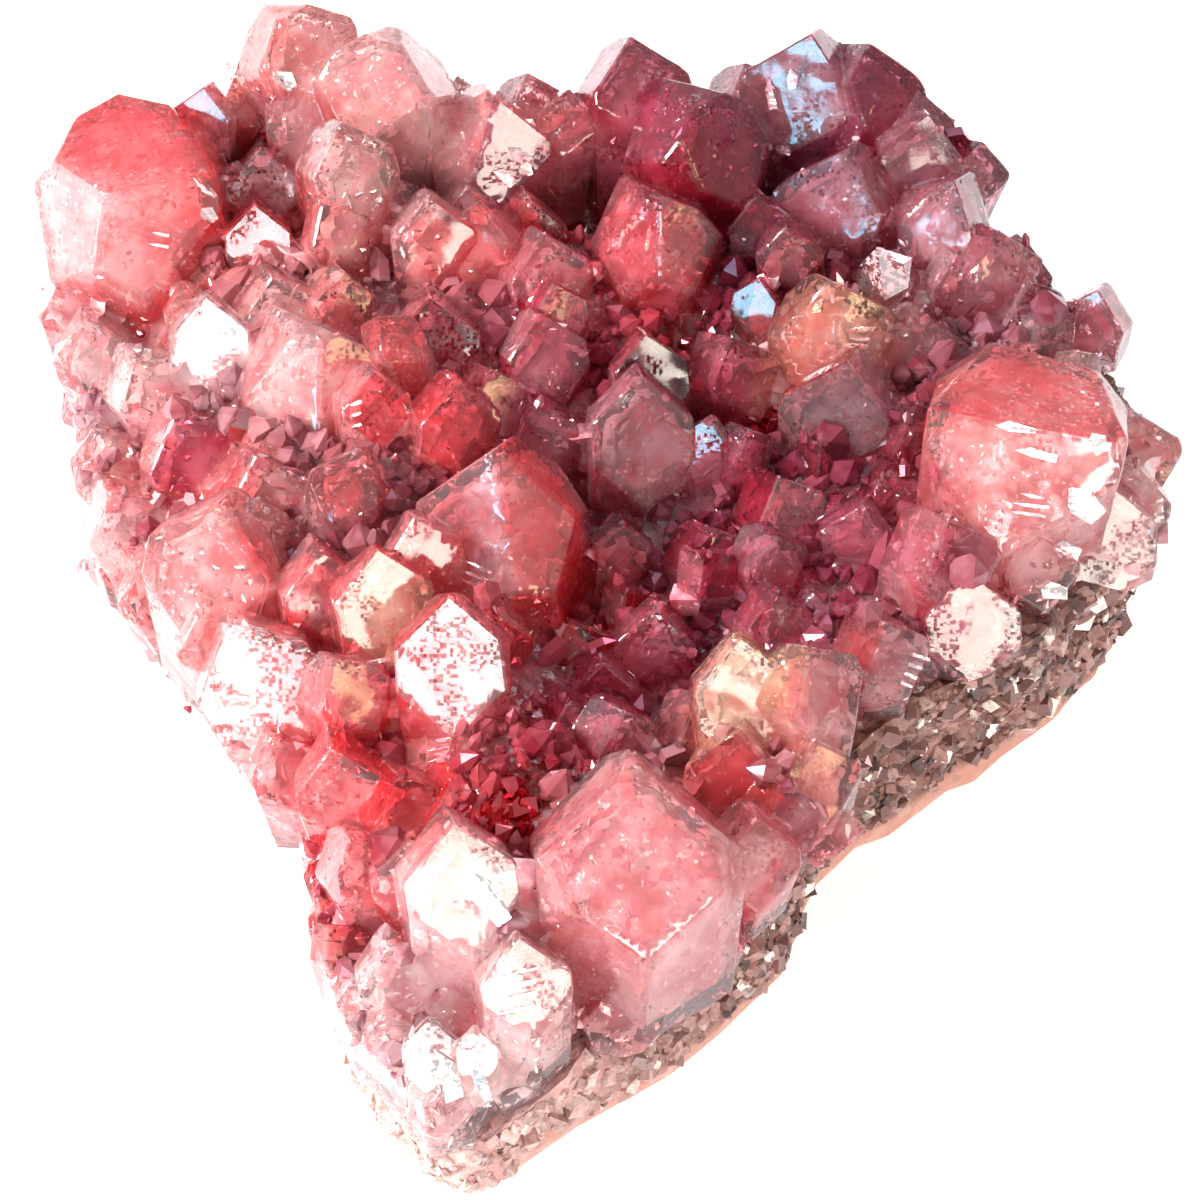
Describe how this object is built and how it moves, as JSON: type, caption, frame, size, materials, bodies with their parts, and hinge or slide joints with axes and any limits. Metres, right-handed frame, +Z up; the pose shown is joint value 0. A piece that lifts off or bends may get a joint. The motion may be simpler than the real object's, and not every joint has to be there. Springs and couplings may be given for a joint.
{
  "type": "dyed amethyst cluster",
  "caption": "Fan-shaped slab of host rock carrying a crust of stubby red and purple quartz points round a shallow bowl, made to lie on a flat surface for display.",
  "frame": {"origin": "on the flat spot of the underside, below the middle of the cluster", "axes": "+Z up out of the bowl, -Y towards the slab's narrow front tip"},
  "size_m": [0.1021, 0.1104, 0.036],
  "materials": {
    "host_rock": "rough granular",
    "dyed_quartz": "glossy crystal faces"
  },
  "bodies": {
    "root": {"rock_matrix": "host_rock", "amethyst_crystals": "dyed_quartz"}
  },
  "joints": []
}
